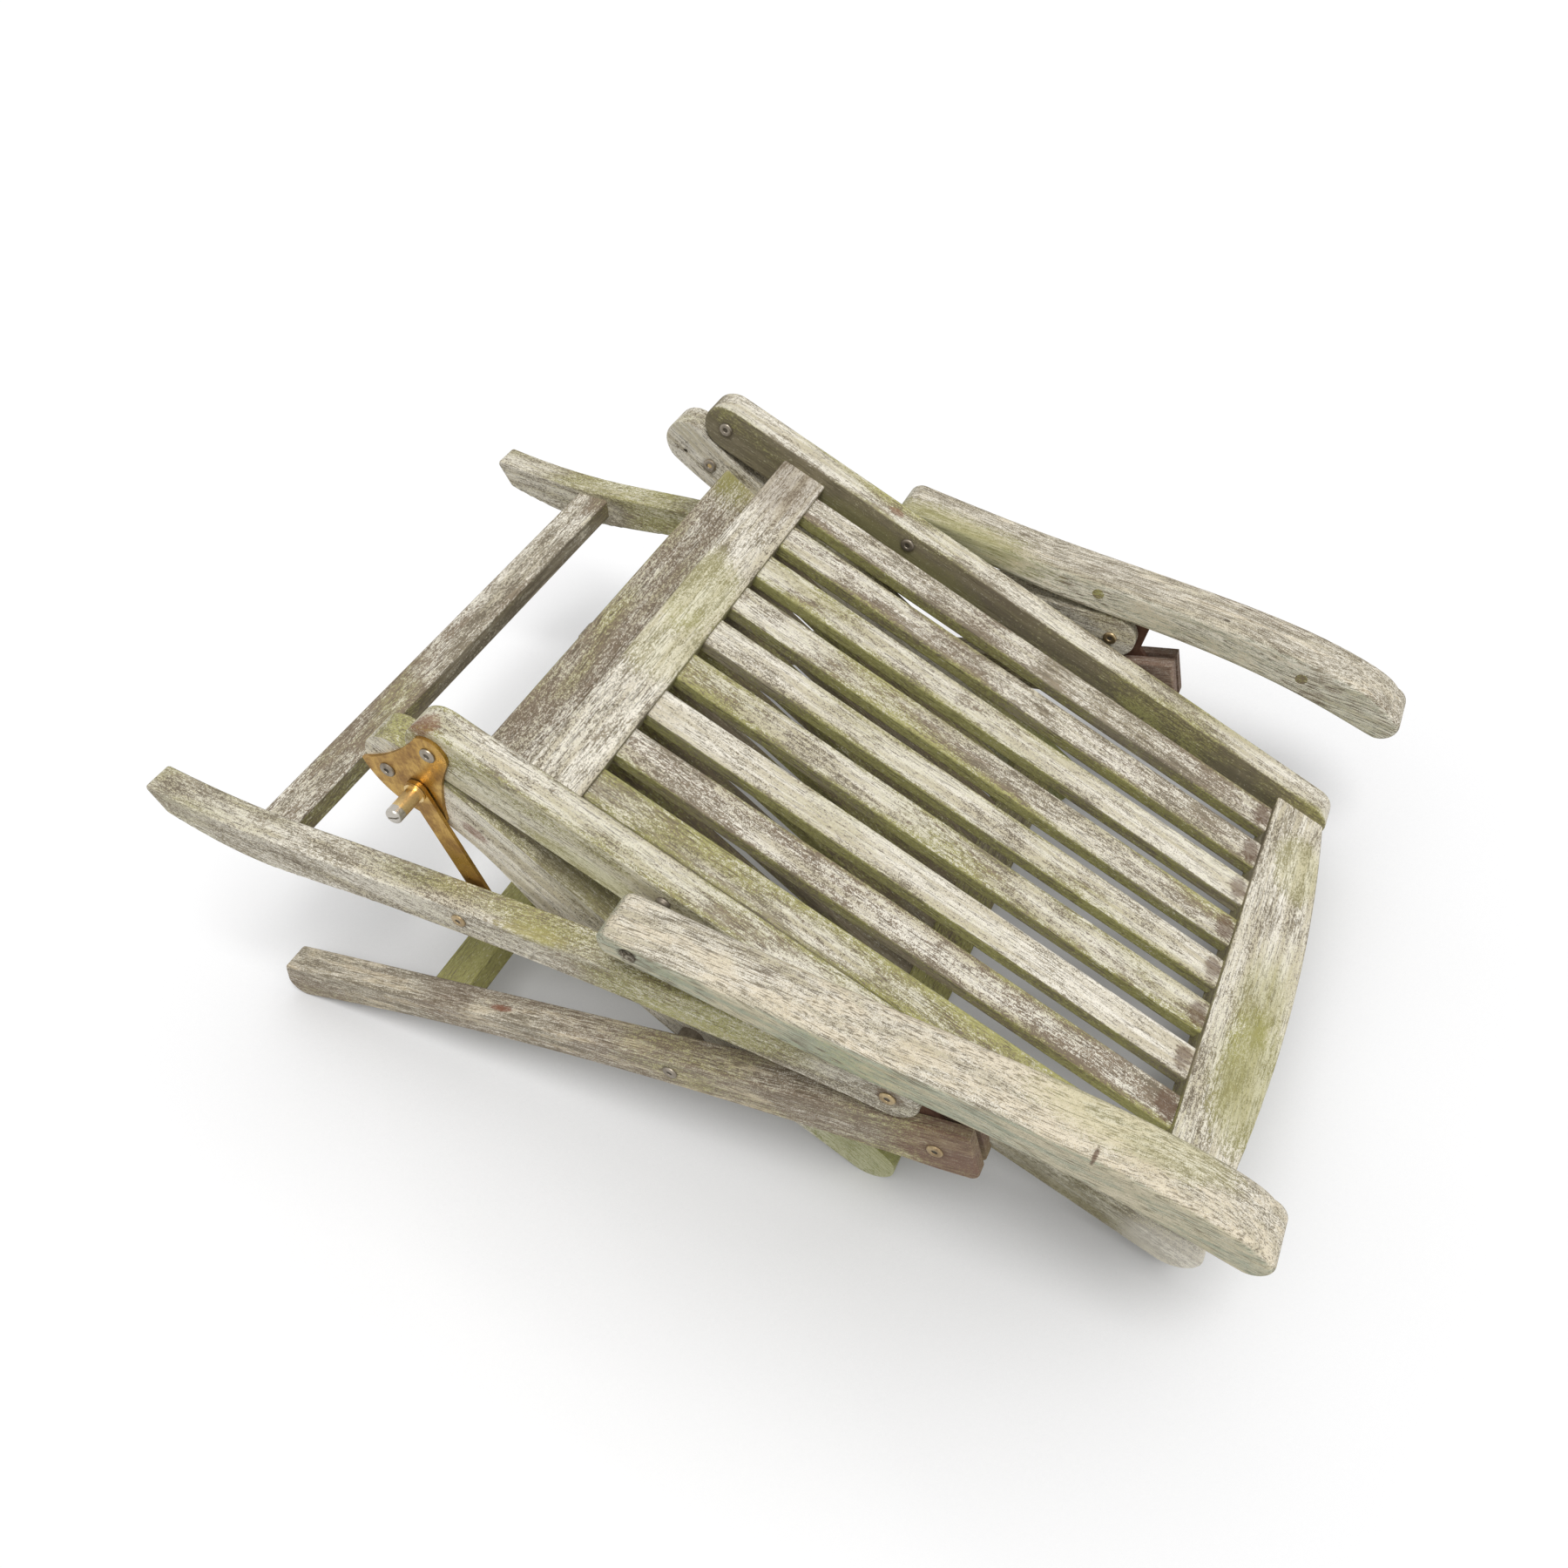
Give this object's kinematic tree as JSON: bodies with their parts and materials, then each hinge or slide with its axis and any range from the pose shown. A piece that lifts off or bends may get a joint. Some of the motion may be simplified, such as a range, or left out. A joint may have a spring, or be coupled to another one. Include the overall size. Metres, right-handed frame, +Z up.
{
  "type": "folding chair",
  "caption": "Weathered teak reclining folding armchair with slatted back and seat, folded flat and lying on its front, with brass hinge plates and straps.",
  "frame": {"origin": "centre of the base of the folded chair's bounding box as it lies, on the floor", "axes": "+X to the sitter's right, +Y from the feet to the crest end, +Z up"},
  "size_m": [0.6, 0.9722, 0.4165],
  "materials": {
    "weathered_teak": "silvered by weather, rough, with lichen and algae",
    "tarnished_brass": "tarnished orange",
    "dull_brass": "dull, rubbed bright at the ends",
    "rusted_steel": "rust brown",
    "grey_steel": "grey and dull"
  },
  "bodies": {
    "brackets": {"arm_bracket_left": "rusted_steel", "arm_bracket_right": "rusted_steel", "bracket_pins": "rusted_steel"},
    "arm_left": {"arm_left": "weathered_teak", "arm_plugs_left": "weathered_teak", "rack_bolts_left": "rusted_steel", "recline_rack_left": "rusted_steel"},
    "back": {"arm_pivot_bolts": "grey_steel", "arm_washers": "grey_steel", "back_bottom_rail": "weathered_teak", "back_crest_rail": "weathered_teak", "back_slat_1": "weathered_teak", "back_slat_2": "weathered_teak", "back_slat_3": "weathered_teak", "back_slat_4": "weathered_teak", "back_slat_5": "weathered_teak", "back_slat_6": "weathered_teak", "back_slat_7": "weathered_teak", "back_slat_8": "weathered_teak", "back_slat_9": "weathered_teak", "back_stile_left": "weathered_teak", "back_stile_right": "weathered_teak"},
    "arm_right": {"arm_plugs_right": "weathered_teak", "arm_right": "weathered_teak", "rack_bolts_right": "rusted_steel", "recline_rack_right": "rusted_steel"},
    "seat": {"back_hinge_bolts": "grey_steel", "hinge_plate_left": "tarnished_brass", "hinge_plate_right": "tarnished_brass", "leg_pivot_bolts": "grey_steel", "leg_spacers": "grey_steel", "pin_collars": "dull_brass", "plate_screws": "grey_steel", "seat_front_rail": "weathered_teak", "seat_rear_rail": "weathered_teak", "seat_slat_1": "weathered_teak", "seat_slat_2": "weathered_teak", "seat_slat_3": "weathered_teak", "seat_slat_4": "weathered_teak", "seat_slat_5": "weathered_teak", "seat_slat_6": "weathered_teak", "seat_slat_7": "weathered_teak", "seat_slat_8": "weathered_teak", "seat_stile_left": "weathered_teak", "seat_stile_right": "weathered_teak", "support_pin_left": "dull_brass", "support_pin_right": "dull_brass"},
    "front_legs": {"front_bracket_rivets": "dull_brass", "front_leg_left": "weathered_teak", "front_leg_right": "weathered_teak", "front_stretcher": "weathered_teak"},
    "rear_legs": {"rear_bracket_rivets": "dull_brass", "rear_leg_left": "weathered_teak", "rear_leg_right": "weathered_teak", "rear_stretcher": "weathered_teak", "strap_rivets": "dull_brass"},
    "straps": {"strap_left": "tarnished_brass", "strap_right": "tarnished_brass", "strap_studs": "dull_brass"}
  },
  "joints": [
    {"name": "fold", "type": "hinge", "parent": "back", "child": "seat", "pos_m": [0, -0.15447, 0.39305], "axis": [-1, 0, 0], "range_deg": [0, 100]},
    {"name": "front_leg_pivot", "type": "hinge", "parent": "seat", "child": "front_legs", "pos_m": [0, 0.01778, 0.12298], "axis": [1, 0, 0], "range_deg": [0, 56]},
    {"name": "bracket_front_rivet", "type": "hinge", "parent": "front_legs", "child": "brackets", "pos_m": [0, 0.24864, 0.15448], "axis": [1, 0, 0], "range_deg": [-51.79, 0]},
    {"name": "bracket_rear_rivet", "type": "hinge", "parent": "brackets", "child": "rear_legs", "pos_m": [0, 0.21441, 0.20466], "axis": [1, 0, 0], "range_deg": [0, 13.55]},
    {"name": "strap_pivot", "type": "hinge", "parent": "seat", "child": "straps", "pos_m": [0, -0.17933, 0.35025], "axis": [1, 0, 0], "range_deg": [-77.17, 0]},
    {"name": "right_arm_pivot", "type": "hinge", "parent": "back", "child": "arm_right", "pos_m": [0, 0.02617, 0.29829], "axis": [1, 0, 0], "range_deg": [-126.98, 0]},
    {"name": "left_arm_pivot", "type": "hinge", "parent": "back", "child": "arm_left", "pos_m": [0, 0.02617, 0.29829], "axis": [1, 0, 0], "range_deg": [-124.48, 0]}
  ],
  "couplings": [
    {"joint": "front_leg_pivot", "follows": "fold", "ratio": 0.56},
    {"joint": "bracket_front_rivet", "follows": "fold", "ratio": -0.5178},
    {"joint": "bracket_rear_rivet", "follows": "fold", "ratio": 0.1354},
    {"joint": "strap_pivot", "follows": "fold", "ratio": -0.7716},
    {"joint": "right_arm_pivot", "follows": "fold", "ratio": -1.2697},
    {"joint": "left_arm_pivot", "follows": "fold", "ratio": -1.2447}
  ]
}
